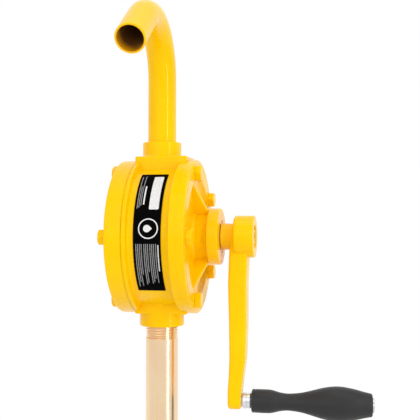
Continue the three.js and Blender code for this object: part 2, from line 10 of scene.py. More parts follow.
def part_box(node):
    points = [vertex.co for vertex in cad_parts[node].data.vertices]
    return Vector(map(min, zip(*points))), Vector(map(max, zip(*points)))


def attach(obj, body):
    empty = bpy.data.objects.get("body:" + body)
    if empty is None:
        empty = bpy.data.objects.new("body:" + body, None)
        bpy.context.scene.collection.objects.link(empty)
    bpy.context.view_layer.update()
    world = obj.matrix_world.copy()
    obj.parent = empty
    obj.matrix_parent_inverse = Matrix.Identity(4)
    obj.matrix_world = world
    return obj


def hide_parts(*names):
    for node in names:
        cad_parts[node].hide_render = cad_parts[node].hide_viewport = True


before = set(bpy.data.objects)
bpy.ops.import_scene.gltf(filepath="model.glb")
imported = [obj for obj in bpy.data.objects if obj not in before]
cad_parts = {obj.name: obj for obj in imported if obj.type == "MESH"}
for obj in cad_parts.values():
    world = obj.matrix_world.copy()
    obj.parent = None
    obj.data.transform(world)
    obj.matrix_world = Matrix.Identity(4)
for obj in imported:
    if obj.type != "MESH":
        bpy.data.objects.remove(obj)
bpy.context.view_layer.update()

MM = 0.001
FULL_TURN = 2 * math.pi
ROUND = 96  # facets round a casting
FINE = 64  # facets round a small turned piece
AXES = {"X": Vector((1, 0, 0)), "Y": Vector((0, 1, 0)), "Z": Vector((0, 0, 1))}


# ------------------------------------------------------------------ places taken from the frame
def reach(node, axis):
    """Lowest and highest place of a CAD node along an axis, in mm of the frame."""
    low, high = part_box(node)
    i = "XYZ".index(axis)
    return low[i] / MM, high[i] / MM


SHAFT_HEIGHT = sum(reach("drive_shaft", "Z")) / 2
BODY_BACK, BODY_FRONT = reach("pump_body", "X")
COVER_SEAT, HUB_FACE = reach("front_cover", "X")
REAR_HUB_FACE, REAR_SEAT = reach("rear_cover", "X")
CASING_R = (reach("rear_cover", "Z")[1] - reach("rear_cover", "Z")[0]) / 2
COLLAR_TOP = reach("pump_body", "Z")[1] - SHAFT_HEIGHT
BOSS_BOTTOM = reach("pump_body", "Z")[0] - SHAFT_HEIGHT
CRANK_NECK, CRANK_FACE = reach("crank_arm", "X")
THROW = SHAFT_HEIGHT - sum(reach("grip", "Z")) / 2
GRIP_START, GRIP_END = reach("grip", "X")
TUBE_BOTTOM, TUBE_TOP = (z - SHAFT_HEIGHT for z in reach("suction_tube", "Z"))
TUBE_R = reach("suction_tube", "X")[1]
INNER_BOTTOM, INNER_TOP = (z - SHAFT_HEIGHT for z in reach("inner_tube", "Z"))
INNER_R = reach("inner_tube", "X")[1]
SLEEVE_BOTTOM, SLEEVE_TOP = (z - SHAFT_HEIGHT for z in reach("telescope_collar", "Z"))
FOOT_BOTTOM, FOOT_TOP = (z - SHAFT_HEIGHT for z in reach("foot_strainer", "Z"))
FLOOR_HEIGHT = reach("foot_strainer", "Z")[0]

BARREL_R = 69
PAD_TOP = 78.6
PAD_BOTTOM = -75.2
PAD_HALF = 22
BOSS_R = 22
COVER_FACE = 37.5
COVER_FLOOR = 34
REAR_FACE = -37.5
BOLT_COUNT = 5
BOLT_CIRCLE = 64.4
BOLT_STEP = 360 / BOLT_COUNT
BOLT_HEX = 14
BOLT_HEAD = 6
HUB_R = 27.8
WAIST_R = 23.5
HUB_STEP = 49.5
SPOUT_R = 14
SPOUT_WALL = 2
BEND_R = 51.1
BEND_START = 155.8
BEND_DEGREES = 125.7
SPOUT_STRAIGHT = 45.4


# ------------------------------------------------------------------ modelling
def only(piece):
    """Selects one piece alone and makes it active."""
    bpy.ops.object.select_all(action="DESELECT")
    piece.select_set(True)
    bpy.context.view_layer.objects.active = piece


def settled(name, scale=(1, 1, 1)):
    """Names the object just added, scales it and puts its place into its mesh."""
    piece = bpy.context.object
    piece.name = name
    piece.scale = scale
    bpy.ops.object.transform_apply(location=True, rotation=True, scale=True)
    return piece


def in_edit(piece, mode="VERT"):
    only(piece)
    bpy.ops.object.mode_set(mode="EDIT")
    bpy.ops.mesh.select_mode(type=mode)


def out_of_edit():
    bpy.ops.object.mode_set(mode="OBJECT")


def cleaned(piece):
    """Merges doubles and turns every face outwards."""
    in_edit(piece)
    bpy.ops.mesh.select_all(action="SELECT")
    bpy.ops.mesh.remove_doubles(threshold=0.002 * MM)
    bpy.ops.mesh.normals_make_consistent(inside=False)
    out_of_edit()
    return piece


def chosen(piece, kind, wanted):
    """Selects the faces, edges or vertices whose middle passes the test."""
    in_edit(piece, kind)
    bpy.ops.mesh.select_all(action="DESELECT")
    out_of_edit()
    mesh = piece.data
    if kind == "FACE":
        for face in mesh.polygons:
            face.select = wanted(face.center / MM, face.normal)
    elif kind == "EDGE":
        for edge in mesh.edges:
            a, b = (mesh.vertices[i].co for i in edge.vertices)
            edge.select = wanted((a + b) / (2 * MM), (b - a).normalized())
    else:
        for vertex in mesh.vertices:
            vertex.select = wanted(vertex.co / MM, vertex.normal)
    bpy.ops.object.mode_set(mode="EDIT")


def eased(outline, steps=4):
    """The outline with an arc at each corner that gives a radius as its third number."""
    line = []
    for i, corner in enumerate(outline):
        here = Vector(corner[:2])
        if len(corner) < 3:
            line.append(here)
            continue
        radius = corner[2]
        before = (Vector(outline[i - 1][:2]) - here).normalized()
        after = (Vector(outline[(i + 1) % len(outline)][:2]) - here).normalized()
        half = before.angle(after) / 2
        centre = here + (before + after).normalized() * radius / math.sin(half)
        spokes = [here + side * radius / math.tan(half) - centre for side in (before, after)]
        start, end = (math.atan2(spoke.y, spoke.x) for spoke in spokes)
        sweep = (end - start + math.pi) % FULL_TURN - math.pi
        for k in range(steps + 1):
            angle = start + sweep * k / steps
            line.append(centre + radius * Vector((math.cos(angle), math.sin(angle))))
    return line


def flowing(points, steps=5):
    """A smooth line through the points, by Catmull and Rom's rule."""
    ends = [2 * Vector(points[0]) - Vector(points[1]), 2 * Vector(points[-1]) - Vector(points[-2])]
    knots = [ends[0], *map(Vector, points), ends[1]]
    line = []
    for a, b, c, d in zip(knots, knots[1:], knots[2:], knots[3:]):
        for k in range(steps):
            t = k / steps
            line.append(0.5 * (2 * b + (c - a) * t + (2 * a - 5 * b + 4 * c - d) * t * t
                               + (3 * b - a - 3 * c + d) * t ** 3))
    return line + [knots[-2]]


def drawn(name, points):
    """A line of edges drawn point by point, in mm."""
    bpy.ops.object.select_all(action="DESELECT")
    bpy.ops.mesh.primitive_plane_add(size=MM, location=Vector(points[0]) * MM)
    piece = settled(name)
    in_edit(piece)
    bpy.ops.mesh.select_all(action="SELECT")
    bpy.ops.mesh.merge(type="CENTER")
    for before, after in zip(points, points[1:]):
        step = (Vector(after) - Vector(before)) * MM
        bpy.ops.mesh.extrude_region_move(TRANSFORM_OT_translate={"value": step})
    out_of_edit()
    return piece


def turned(name, outline, axis="X", sides=FINE, steps=4, line=None):
    """A turning: its outline of (along, radius) points, eased at the corners and spun."""
    line = line or eased(outline, steps)
    frames = {"X": lambda a, r: (a, 0, r), "Y": lambda a, r: (0, a, r), "Z": lambda a, r: (r, 0, a)}
    piece = drawn(name, [Vector(frames[axis](a, r)) for a, r in line])
    in_edit(piece)
    bpy.ops.mesh.select_all(action="SELECT")
    bpy.ops.mesh.spin(steps=sides, angle=FULL_TURN, center=(0, 0, 0), axis=AXES[axis])
    out_of_edit()
    return cleaned(piece)


def ring(name, inner, outer, start, end, axis="X", ease=0.3, sides=FINE):
    """A turned sleeve with eased edges."""
    outline = [(start, inner, ease), (end, inner, ease), (end, outer, ease), (start, outer, ease)]
    line = eased(outline, 2)
    return turned(name, outline, axis, sides, line=line + line[:1])


def rod(name, radius, start, end, axis="X", at=(0, 0), sides=48):
    """A plain rod to cut or join with; at is its place across the axis."""
    turn = {"X": (0, math.pi / 2, 0), "Y": (math.pi / 2, 0, 0), "Z": (0, 0, 0)}[axis]
    middle = (start + end) / 2
    place = {"X": (middle, *at), "Y": (at[0], middle, at[1]), "Z": (*at, middle)}[axis]
    bpy.ops.object.select_all(action="DESELECT")
    bpy.ops.mesh.primitive_cylinder_add(vertices=sides, radius=radius * MM,
                                        depth=(end - start) * MM,
                                        location=Vector(place) * MM, rotation=turn)
    return settled(name)


def block(name, low, high, ease=0.0, segments=3):
    """A box between two corners, its edges rounded."""
    low, high = Vector(low), Vector(high)
    bpy.ops.object.select_all(action="DESELECT")
    bpy.ops.mesh.primitive_cube_add(size=1, location=(low + high) / 2 * MM)
    piece = settled(name, (high - low) * MM)
    if ease:
        rounded(piece, ease, segments)
    return piece


def with_modifier(piece, kind, **settings):
    """Adds a modifier with its settings and applies it."""
    modifier = piece.modifiers.new(kind.lower(), kind)
    for key, value in settings.items():
        setattr(modifier, key, value)
    only(piece)
    bpy.ops.object.modifier_apply(modifier=modifier.name)
    return piece


def rounded(piece, width, segments=3, angle=30):
    """Rounds every edge sharper than the angle."""
    return with_modifier(piece, "BEVEL", width=width * MM, segments=segments, limit_method="ANGLE",
                         angle_limit=math.radians(angle), harden_normals=False)


def boolean(piece, tools, operation):
    for tool in tools:
        with_modifier(piece, "BOOLEAN", object=tool, operation=operation, solver="EXACT")
        bpy.data.meshes.remove(tool.data)
    return piece


def cut(piece, *tools):
    return boolean(piece, tools, "DIFFERENCE")


def welded(piece, *tools):
    return boolean(piece, tools, "UNION")


def twin(piece, name, turn=Matrix()):
    """A copy with its own mesh, moved by a matrix."""
    copy = piece.copy()
    copy.data = piece.data.copy()
    copy.data.transform(turn)
    copy.name = name
    bpy.context.collection.objects.link(copy)
    return copy


def together(name, pieces):
    """Pieces that stay separate shells in one mesh."""
    only(pieces[0])
    for piece in pieces[1:]:
        piece.select_set(True)
    bpy.ops.object.join()
    bpy.context.object.name = name
    return bpy.context.object


def turn_about(axis, degrees):
    return Matrix.Rotation(math.radians(degrees), 4, axis)


def around(piece, count, axis="X", first=0):
    """The piece repeated evenly round an axis, as one mesh."""
    copies = [twin(piece, f"{piece.name}_{i}", turn_about(axis, first + 360 * i / count))
              for i in range(count)]
    bpy.data.meshes.remove(piece.data)
    return together("set", copies)


def prism(name, outline, thickness, plane="XZ"):
    """A flat outline of eased points with a thickness across its plane, centred on it."""
    points = eased(outline)
    lift = {"XZ": lambda a, b: (a, -thickness / 2, b), "XY": lambda a, b: (a, b, -thickness / 2),
            "YZ": lambda a, b: (-thickness / 2, a, b)}[plane]
    across = {"XZ": (0, 1, 0), "XY": (0, 0, 1), "YZ": (1, 0, 0)}[plane]
    piece = drawn(name, [Vector(lift(a, b)) for a, b in [*points, points[0]]])
    in_edit(piece)
    bpy.ops.mesh.select_all(action="SELECT")
    bpy.ops.mesh.remove_doubles(threshold=0.002 * MM)
    bpy.ops.mesh.edge_face_add()
    step = Vector(across) * thickness * MM
    bpy.ops.mesh.extrude_region_move(TRANSFORM_OT_translate={"value": step})
    out_of_edit()
    return cleaned(piece)


def threaded(name, crest, depth, pitch, start, end, sides=48):
    """A rod along Z with a right-handed V thread, cut flat at both ends."""
    turns = math.ceil((end - start) / pitch) + 2
    tooth = [(0, 0), (0.18, 0), (0.5, 1), (0.62, 1), (0.94, 0), (1, 0)]
    base = start - pitch
    piece = drawn(name, [(crest - depth * d, 0, base + pitch * t) for t, d in tooth])
    with_modifier(piece, "SCREW", axis="Z", angle=FULL_TURN, screw_offset=pitch * MM, steps=sides,
                  render_steps=sides, iterations=turns, use_merge_vertices=True,
                  merge_threshold=0.002 * MM)
    for height, upwards in ((start, -1), (end, 1)):
        in_edit(piece)
        bpy.ops.mesh.select_all(action="SELECT")
        bpy.ops.mesh.remove_doubles(threshold=0.002 * MM)
        bpy.ops.mesh.bisect(plane_co=(0, 0, height * MM), plane_no=(0, 0, upwards),
                            use_fill=True, clear_outer=True)
        out_of_edit()
    return cleaned(piece)


# ------------------------------------------------------------------ finishes
class Finish:
    """A material with one principled shader and patterns in object space."""

    def __init__(self, name, colour, roughness, metallic=0.0, **sockets):
        self.material = bpy.data.materials.new(name)
        self.material.use_nodes = True
        self.tree = self.material.node_tree
        self.shader = self.tree.nodes["Principled BSDF"]
        self.shader.inputs["Base Color"].default_value = (*colour, 1)
        self.shader.inputs["Roughness"].default_value = roughness
        self.shader.inputs["Metallic"].default_value = metallic
        for label, value in sockets.items():
            self.shader.inputs[label.replace("_", " ")].default_value = value
        self.place = self.node("ShaderNodeTexCoord").outputs["Object"]
        self.relief = None

    def node(self, kind, links=(), **values):
        """A node with its attributes or socket values set and its inputs linked."""
        made = self.tree.nodes.new(kind)
        for key, value in values.items():
            if hasattr(made, key):
                setattr(made, key, value)
            else:
                made.inputs[key.replace("_", " ")].default_value = value
        for label, source in links:
            self.tree.links.new(source, made.inputs[label])
        return made

    def stretched(self, scale):
        """Object coordinates, scaled differently along X, Y and Z."""
        return self.node("ShaderNodeMapping", [("Vector", self.place)], Scale=scale).outputs[0]

    def noise(self, scale, detail=3.0, stretch=(1, 1, 1), roughness=0.5):
        links = [("Vector", self.stretched(stretch))]
        made = self.node("ShaderNodeTexNoise", links, Scale=scale, Detail=detail,
                         Roughness=roughness)
        return made.outputs["Fac"]

    def cells(self, scale, stretch=(1, 1, 1)):
        """Distance to the middles of random cells, for specks and grains."""
        links = [("Vector", self.stretched(stretch))]
        return self.node("ShaderNodeTexVoronoi", links, Scale=scale).outputs["Distance"]

    def level(self, source, low, high, to_low=0.0, to_high=1.0):
        """Maps a range of values onto another, clamped."""
        made = self.node("ShaderNodeMapRange", [("Value", source)])
        for label, value in zip(("From Min", "From Max", "To Min", "To Max"),
                                (low, high, to_low, to_high)):
            made.inputs[label].default_value = value
        return made.outputs["Result"]

    def maths(self, operation, a, b):
        made = self.node("ShaderNodeMath", operation=operation)
        for i, value in enumerate((a, b)):
            if isinstance(value, (int, float)):
                made.inputs[i].default_value = value
            else:
                self.tree.links.new(value, made.inputs[i])
        return made.outputs[0]

    def along(self, axis):
        """One object coordinate, in metres."""
        return self.node("ShaderNodeSeparateXYZ", [("Vector", self.place)]).outputs[axis]

    def mixed(self, amount, first, second, mode="MIX"):
        """Two colours mixed by an amount; each is a colour or a socket."""
        made = self.node("ShaderNodeMix", data_type="RGBA", blend_type=mode)
        self.tree.links.new(amount, made.inputs["Factor"])
        for label, value in ((6, first), (7, second)):
            if isinstance(value, tuple):
                made.inputs[label].default_value = (*value, 1)
            else:
                self.tree.links.new(value, made.inputs[label])
        return made.outputs[2]

    def colour(self, source):
        self.tree.links.new(source, self.shader.inputs["Base Color"])

    def roughness(self, source):
        self.tree.links.new(source, self.shader.inputs["Roughness"])

    def bump(self, height, depth, strength=1.0):
        """Adds relief of a real depth in mm over what is there already."""
        links = [("Height", height)]
        if self.relief:
            links.append(("Normal", self.relief))
        made = self.node("ShaderNodeBump", links, Strength=strength, Distance=depth * MM)
        self.relief = made.outputs["Normal"]
        self.tree.links.new(self.relief, self.shader.inputs["Normal"])


def yellow_enamel():
    """Glossy brushed-on enamel over a cast skin, slightly deeper where it is thick."""
    paint = Finish("yellow_enamel", (0.95, 0.55, 0.0), 0.28, IOR=1.32, Coat_Weight=0.2,
                   Specular_Tint=(1, 0.6, 0.02, 1), Coat_Roughness=0.06, Coat_IOR=1.45)
    clouds = paint.noise(22, 3)
    streaks = paint.noise(90, 4, (1, 1, 0.25))
    base = paint.mixed(paint.level(clouds, 0.35, 0.65), (0.97, 0.575, 0.0), (0.93, 0.53, 0.0))
    base = paint.mixed(paint.level(streaks, 0.58, 0.78, 0, 0.35), base, (0.90, 0.47, 0.0))
    specks = paint.level(paint.cells(310), 0.0, 0.09, 0.5, 0.0)
    paint.colour(paint.mixed(specks, base, (0.66, 0.28, 0.002)))
    paint.roughness(paint.level(paint.noise(130, 5), 0.3, 0.7, 0.2, 0.36))
    paint.bump(paint.noise(70, 2), 0.35, 0.5)
    paint.bump(paint.noise(420, 3), 0.09, 0.55)
    return paint.material


def spout_bore_shade():
    """Inside of the spout: dark brown deeper in as painted shade of the bore, and enamel a little
    way into the mouth, its colour darkened to orange as painted shade.
    """
    tip, down = SPOUT_TIP, SPOUT_DOWN
    lining = Finish("spout_bore_shade", (0.09, 0.045, 0.02), 0.5, 0.25)
    depth = lining.node("ShaderNodeVectorMath", [(0, lining.place)], operation="SUBTRACT")
    depth.inputs[1].default_value = tip
    inward = lining.node("ShaderNodeVectorMath", [(0, depth.outputs[0])], operation="DOT_PRODUCT")
    inward.inputs[1].default_value = -down
    ragged = lining.maths("ADD", inward.outputs["Value"],
                          lining.level(lining.noise(160, 4), 0.2, 0.8, -0.004, 0.004))
    painted = lining.level(ragged, 0.003, 0.014, 1, 0)
    # painted shade: the two dark browns stand for the shade deep in the bore; the orange near the
    # mouth is enamel darkened as painted shade
    bore_shade = lining.mixed(lining.noise(240, 5), (0.36, 0.18, 0.03), (0.18, 0.085, 0.02))
    lining.colour(lining.mixed(painted, bore_shade, (0.80, 0.36, 0.0)))
    lining.roughness(lining.level(painted, 0, 1, 0.62, 0.35))
    lining.bump(lining.noise(500, 4), 0.08, 0.6)
    return lining.material


def zinc_passivate():
    """Yellow passivated zinc on drawn tube: warm, faintly iridescent, streaked along Z."""
    zinc = Finish("zinc_passivate", (0.90, 0.72, 0.52), 0.3, 1.0)
    drawn_lines = zinc.noise(1, 4, (420, 420, 5))
    clouds = zinc.noise(1, 3, (45, 45, 14))
    rainbow = zinc.noise(1, 2, (26, 26, 60))
    base = zinc.mixed(zinc.level(clouds, 0.35, 0.65), (0.97, 0.74, 0.48), (0.93, 0.65, 0.40))
    base = zinc.mixed(zinc.level(rainbow, 0.52, 0.72, 0, 0.4), base, (0.93, 0.76, 0.44))
    base = zinc.mixed(zinc.level(rainbow, 0.46, 0.30, 0, 0.35), base, (0.95, 0.62, 0.46))
    zinc.colour(zinc.mixed(zinc.level(drawn_lines, 0.3, 0.8, 0, 0.25), base, (0.74, 0.54, 0.36)))
    zinc.roughness(zinc.level(drawn_lines, 0.3, 0.7, 0.12, 0.24))
    zinc.bump(drawn_lines, 0.03, 0.4)
    return zinc.material


def bright_zinc():
    """Bright zinc on turned steel, with faint turning rings along X."""
    zinc = Finish("bright_zinc_plate", (0.74, 0.75, 0.77), 0.25, 1.0)
    rings = zinc.noise(1, 3, (1400, 30, 30))
    clouds = zinc.noise(150, 3)
    zinc.colour(zinc.mixed(clouds, (0.80, 0.81, 0.83), (0.66, 0.67, 0.70)))
    zinc.roughness(zinc.level(rings, 0.3, 0.7, 0.16, 0.34))
    zinc.bump(rings, 0.02, 0.5)
    return zinc.material


def cast_iron():
    iron = Finish("machined_cast_iron", (0.16, 0.165, 0.17), 0.45, 0.9)
    grains = iron.cells(900)
    iron.colour(iron.mixed(iron.noise(120, 5), (0.24, 0.245, 0.25), (0.11, 0.11, 0.115)))
    iron.roughness(iron.level(grains, 0.0, 0.6, 0.55, 0.35))
    iron.bump(grains, 0.03, 0.6)
    return iron.material


def bronze():
    metal = Finish("bearing_bronze", (0.62, 0.38, 0.14), 0.3, 1.0)
    metal.colour(metal.mixed(metal.noise(200, 4), (0.70, 0.45, 0.18), (0.50, 0.28, 0.10)))
    metal.roughness(metal.level(metal.noise(1, 3, (900, 60, 60)), 0.3, 0.7, 0.2, 0.42))
    metal.bump(metal.noise(1, 3, (900, 60, 60)), 0.015, 0.5)
    return metal.material


def ground_steel():
    steel = Finish("ground_steel", (0.55, 0.56, 0.57), 0.22, 1.0)
    rings = steel.noise(1, 3, (1800, 25, 25))
    steel.colour(steel.mixed(steel.noise(90, 4), (0.60, 0.61, 0.62), (0.44, 0.445, 0.45)))
    steel.roughness(steel.level(rings, 0.3, 0.7, 0.15, 0.32))
    steel.bump(rings, 0.01, 0.5)
    return steel.material


def grip_plastic():
    """Satin moulded plastic, charcoal, with a fine spark-eroded grain."""
    plastic = Finish("charcoal_grip_plastic", (0.02, 0.02, 0.021), 0.42, IOR=1.38)
    clouds = plastic.noise(35, 3)
    plastic.colour(plastic.mixed(clouds, (0.023, 0.023, 0.024), (0.016, 0.016, 0.017)))
    plastic.roughness(plastic.level(plastic.noise(260, 4), 0.3, 0.7, 0.36, 0.52))
    plastic.bump(plastic.noise(1500, 2), 0.03, 0.6)
    plastic.bump(plastic.noise(60, 2), 0.12, 0.4)
    return plastic.material


def strainer_plastic():
    plastic = Finish("black_strainer_plastic", (0.018, 0.018, 0.019), 0.5, IOR=1.45)
    plastic.colour(plastic.mixed(plastic.noise(50, 3), (0.024, 0.024, 0.026), (0.013, 0.013, 0.014)))
    plastic.roughness(plastic.level(plastic.noise(300, 4), 0.3, 0.7, 0.42, 0.6))
    plastic.bump(plastic.noise(900, 3), 0.04, 0.6)
    return plastic.material


def rubber():
    gum = Finish("black_rubber", (0.014, 0.014, 0.015), 0.75)
    gum.colour(gum.mixed(gum.noise(160, 5), (0.022, 0.022, 0.023), (0.009, 0.009, 0.010)))
    gum.roughness(gum.level(gum.noise(400, 4), 0.3, 0.7, 0.65, 0.85))
    gum.bump(gum.noise(1100, 3), 0.04, 0.7)
    return gum.material


def gasket_fibre():
    fibre = Finish("gasket_fibre", (0.06, 0.04, 0.02), 0.9)
    strands = fibre.noise(1, 5, (300, 1500, 1500))
    fibre.colour(fibre.mixed(strands, (0.09, 0.06, 0.03), (0.03, 0.02, 0.012)))
    fibre.bump(strands, 0.05, 0.7)
    return fibre.material


def label_film():
    film = Finish("label_film", (0.002, 0.002, 0.002), 0.3, IOR=1.12,
                  Specular_IOR_Level=0.1)
    film.colour(film.mixed(film.noise(90, 3), (0.0026, 0.0026, 0.0028), (0.0012, 0.0012, 0.0013)))
    film.roughness(film.level(film.noise(220, 4), 0.3, 0.7, 0.24, 0.36))
    film.bump(film.noise(60, 2), 0.05, 0.4)
    return film.material


def label_ink(name, bright, worn):
    """Screen-printed ink: slightly uneven cover over the dark film."""
    ink = Finish(name, bright, 0.45)
    ink.colour(ink.mixed(ink.level(ink.noise(900, 4), 0.35, 0.75), bright, worn))
    ink.roughness(ink.level(ink.noise(500, 3), 0.3, 0.7, 0.38, 0.55))
    return ink.material


bend_end = math.radians(BEND_DEGREES)
SPOUT_DOWN = Vector((0, -math.sin(bend_end), math.cos(bend_end)))
SPOUT_TIP = (Vector((0, -BEND_R * (1 - math.cos(bend_end)), SHAFT_HEIGHT + BEND_START
                     + BEND_R * math.sin(bend_end))) + SPOUT_DOWN * SPOUT_STRAIGHT) * MM

FINISH = {
    "yellow_paint": yellow_enamel(),
    "zinc_yellow": zinc_passivate(),
    "bright_zinc": bright_zinc(),
    "cast_iron": cast_iron(),
    "bronze": bronze(),
    "grip_plastic": grip_plastic(),
    "strainer_plastic": strainer_plastic(),
    "rubber": rubber(),
    "gasket_fibre": gasket_fibre(),
    "label_film": label_film(),
}
LINING = spout_bore_shade()
STEEL = ground_steel()
WHITE_INK = label_ink("white_ink", (0.80, 0.80, 0.80), (0.55, 0.55, 0.56))
GREY_INK = label_ink("grey_ink", (0.34, 0.34, 0.35), (0.14, 0.14, 0.145))


# ------------------------------------------------------------------ putting pieces on the frame
def installed(piece, body, slot, *nodes, lift=SHAFT_HEIGHT, smooth=32, finishes=None):
    """Smooths a piece, gives it its finish, hangs it on its body and hides the CAD nodes it stands
    for.
    """
    piece.data.transform(Matrix.Translation((0, 0, lift * MM)))
    only(piece)
    bpy.ops.object.shade_smooth_by_angle(angle=math.radians(smooth))
    with_modifier(piece, "WEIGHTED_NORMAL", keep_sharp=True, weight=60)
    if finishes is None:
        piece.data.materials.clear()
    for finish in finishes or [FINISH[slot]]:
        if finishes is None:
            piece.data.materials.append(finish)
    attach(piece, body)
    if nodes:
        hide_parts(*nodes)
    return piece


# ------------------------------------------------------------------ castings
def bolt_rods(radius, start, end):
    """Five rods on the bolt circle, to cut bolt holes with."""
    one = rod("bolt_rod", radius, start, end, at=(-BOLT_CIRCLE, 0), sides=24)
    return around(one, BOLT_COUNT)


def body_casting():
    """The barrel with its two flanges, flat pads, spout collar and suction boss."""
    barrel = turned("body_casting", [
        (BODY_BACK, 0), (BODY_BACK, CASING_R, 0.7), (BODY_BACK + 5, CASING_R, 1.0),
        (BODY_BACK + 5.8, BARREL_R, 2.4), (BODY_FRONT - 7.3, BARREL_R, 2.4),
        (BODY_FRONT - 6.5, CASING_R, 1.0), (BODY_FRONT, CASING_R), (BODY_FRONT, 0),
    ], sides=ROUND * 2)
    pads = [block("pad", (BODY_BACK, -PAD_HALF, low), (BODY_FRONT, PAD_HALF, high), 1.2)
            for low, high in ((60, PAD_TOP), (PAD_BOTTOM, -60))]
    collar = turned("collar", [
        (70, 0), (70, 21.6), (PAD_TOP, 21.2, 0.6), (PAD_TOP + 1.6, 19.2, 1.2),
        (COLLAR_TOP, 19.2, 1.1), (COLLAR_TOP, 0),
    ], "Z")
    boss = turned("boss", [
        (-60, 0), (-60, BOSS_R), (BOSS_BOTTOM, BOSS_R, 1.6), (BOSS_BOTTOM, 0),
    ], "Z", ROUND)
    welded(barrel, *pads, collar, boss)
    beside_cover = block("beside_cover", (BODY_BACK - BOSS_R, -BOSS_R, -CASING_R - 0.5),
                         (BODY_BACK, BOSS_R, -40))
    return cut(
        barrel,
        beside_cover,
        rod("bore", 50, BODY_BACK - 1, BODY_FRONT + 1, at=(8, 0), sides=ROUND),
        rod("port", 11, -80, 80, "Z"),
        rod("spout_socket", SPOUT_R + 0.1, 70, COLLAR_TOP + 1, "Z"),
        rod("tube_socket", TUBE_R + 0.1, BOSS_BOTTOM - 1, -67, "Z"),
        bolt_rods(4.1, BODY_FRONT - 14.5, BODY_FRONT + 1),
        bolt_rods(4.1, BODY_BACK - 1, BODY_BACK + 14.5),
    )


def webs_and_seats(web, count, first, seat_outline):
    """Gusset webs evenly round the shaft, and a raised round seat under each bolt head."""
    rounded(web, 1.3)
    webs = [twin(web, f"web_{i}", turn_about("X", first - BOLT_STEP * i)) for i in range(count)]
    bpy.data.meshes.remove(web.data)
    seat = turned("seat", seat_outline)
    seat.data.transform(Matrix.Translation((0, -BOLT_CIRCLE * MM, 0)))
    return together("webs", webs), around(seat, BOLT_COUNT)


def front_cover_casting():
    """Bolted rim with a fine land, sunk flat floor, four gusset webs and the stepped hub."""
    dish = turned("front_cover_casting", [
        (COVER_SEAT, 0), (COVER_SEAT, CASING_R), (COVER_FACE, CASING_R, 1.3),
        (COVER_FACE, 72.0, 0.25), (COVER_FACE - 0.6, 71.3, 0.2), (COVER_FACE + 0.3, 70.4, 0.5),
        (COVER_FACE + 0.3, 58, 1.4), (COVER_FLOOR, 55.6, 1.4), (COVER_FLOOR, WAIST_R + 2, 1.4),
        (COVER_FLOOR + 3, WAIST_R, 1.4), (HUB_STEP - 0.8, WAIST_R, 0.6), (HUB_STEP, HUB_R, 0.5),
        (HUB_FACE, HUB_R, 1.2), (HUB_FACE, 0),
    ], sides=ROUND * 2)
    web = prism("web", [
        (COVER_SEAT + 1, 20), (COVER_SEAT + 1, 57), (COVER_FLOOR + 1.2, 57),
        (COVER_FLOOR + 2, 53), (HUB_STEP - 0.6, 26), (HUB_STEP - 0.6, 20),
    ], 5.2)
    seat_face = COVER_FACE + 0.8
    webs, seats = webs_and_seats(web, BOLT_COUNT - 1, 90 - BOLT_STEP, [
        (COVER_SEAT + 1, 0), (COVER_SEAT + 1, 9.4), (seat_face, 9.2, 0.6), (seat_face, 0)])
    welded(dish, webs, seats)
    return cut(
        dish,
        rod("bush_bore", 12.6, COVER_SEAT - 1, 49),
        rod("seal_bore", 16.4, 48, HUB_FACE + 1),
        bolt_rods(4.1, COVER_SEAT - 1, COVER_FACE + 4),
    )


def rear_cover_casting():
    """Deep rear cover: thick bolted rim, sunk back plate, low webs and a blind shaft hub."""
    plate = REAR_FACE + 10
    dish = turned("rear_cover_casting", [
        (REAR_SEAT, 0), (REAR_SEAT, CASING_R, 0.8), (REAR_FACE, CASING_R, 2.0),
        (REAR_FACE, 59, 1.4), (plate, 56.6, 2.4), (plate, 22, 2.4),
        (REAR_HUB_FACE, 20, 1.2), (REAR_HUB_FACE, 0),
    ], sides=ROUND * 2)
    web = prism("web", [
        (plate + 2, 14), (plate + 2, 62), (REAR_FACE + 1, 62), (REAR_FACE + 0.5, 14),
    ], 7)
    seat_face = REAR_FACE - 0.8
    webs, seats = webs_and_seats(web, BOLT_COUNT, 90, [
        (seat_face, 0), (seat_face, 9.2, 0.6), (REAR_SEAT - 1, 9.4), (REAR_SEAT - 1, 0)])
    welded(dish, webs, seats)
    return cut(dish, rod("bush_bore", 12.6, -35, REAR_SEAT + 1),
               bolt_rods(4.1, REAR_FACE - 4, REAR_SEAT + 1))


def cover_bolt():
    """Painted hexagon bolt, head towards +X, under-head face at the origin's plane."""
    corner, shank = BOLT_HEX / math.sqrt(3), 24
    head = rod("cover_bolt", corner, 0, BOLT_HEAD, sides=6)
    chamfer = turned("chamfer", [
        (-0.5, 0), (-0.5, corner + 0.5), (BOLT_HEAD - 1.3, corner + 0.5),
        (BOLT_HEAD, corner - 1.5, 0.5), (BOLT_HEAD, 0),
    ])
    boolean(head, [chamfer], "INTERSECT")
    rounded(head, 0.35, 2, 40)
    washer_face = turned("washer_face", [(-0.15, 0), (-0.15, 6.8), (0.6, 6.8), (0.6, 0)])
    thread = threaded("thread", 3.9, 0.55, 1.25, -shank, -6, sides=24)
    thread.data.transform(turn_about("Y", 90))
    plain = rod("plain", 3.9, -6.2, 0.5, sides=24)
    return welded(head, washer_face, plain, thread)


